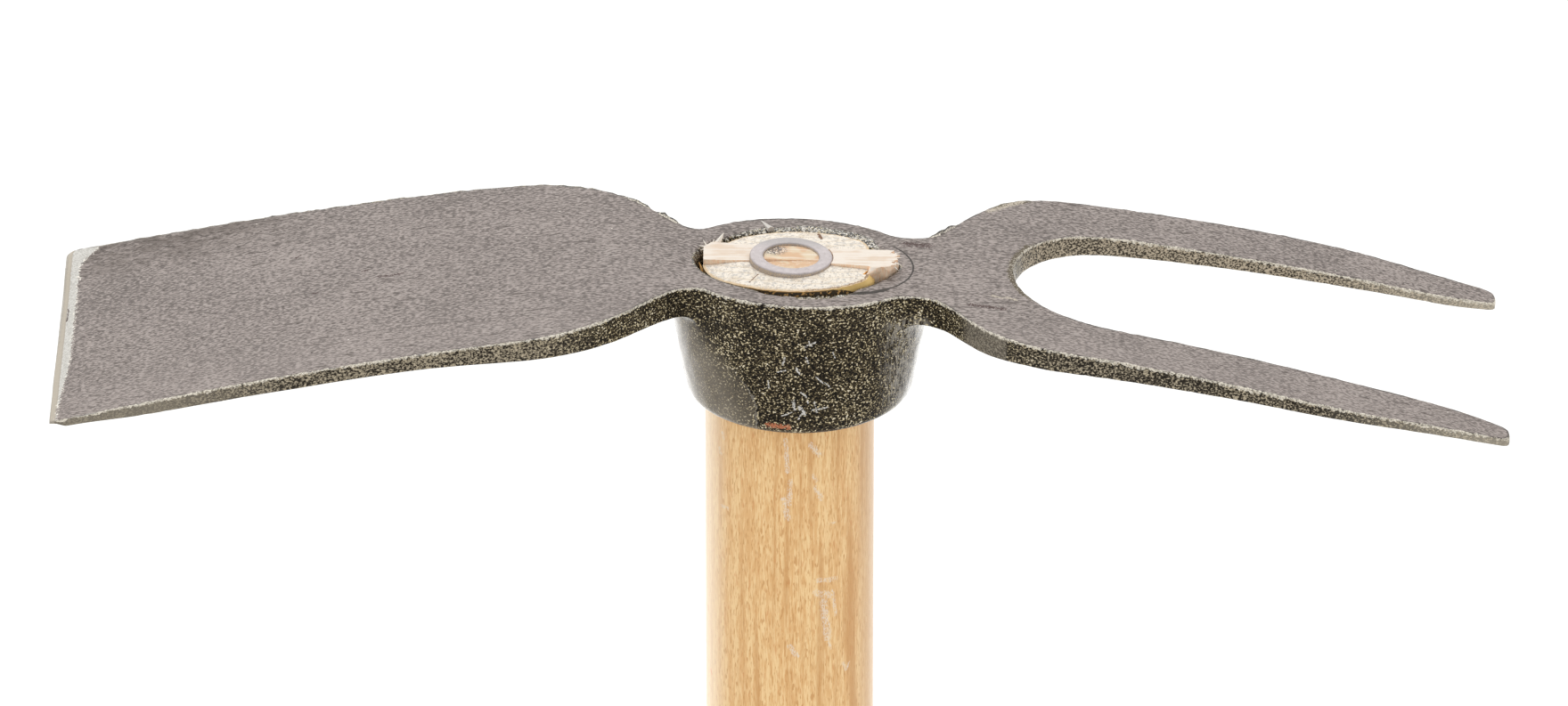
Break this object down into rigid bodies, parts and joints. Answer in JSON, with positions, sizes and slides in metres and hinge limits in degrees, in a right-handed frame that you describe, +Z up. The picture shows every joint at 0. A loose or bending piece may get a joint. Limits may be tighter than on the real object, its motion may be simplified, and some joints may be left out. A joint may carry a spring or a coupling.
{
  "type": "garden hoe",
  "caption": "Long-handled hand hoe: forged head with a flat blade opposite a fork, wedged on a straight round wooden handle.",
  "frame": {"origin": "centre of the flat butt end of the handle, on the handle's axis", "axes": "+Z up the handle to the head; -X towards the blade's cutting edge, +X towards the fork's tips; +Y across the head"},
  "size_m": [0.2602, 0.0694, 1.2011],
  "materials": {
    "forged_steel": "dark coating over rough forged steel, worn bright along the arrises and ground at the cutting edge",
    "lacquered_wood": "clear lacquer over straight-grained honey-coloured wood",
    "raw_wood": "raw split wood with ragged ends",
    "bare_steel": "smooth grey mill finish"
  },
  "bodies": {
    "root": {"hoe_head": "forged_steel", "handle": "lacquered_wood", "wooden_wedge": "raw_wood", "ring_wedge": "bare_steel"}
  },
  "joints": []
}
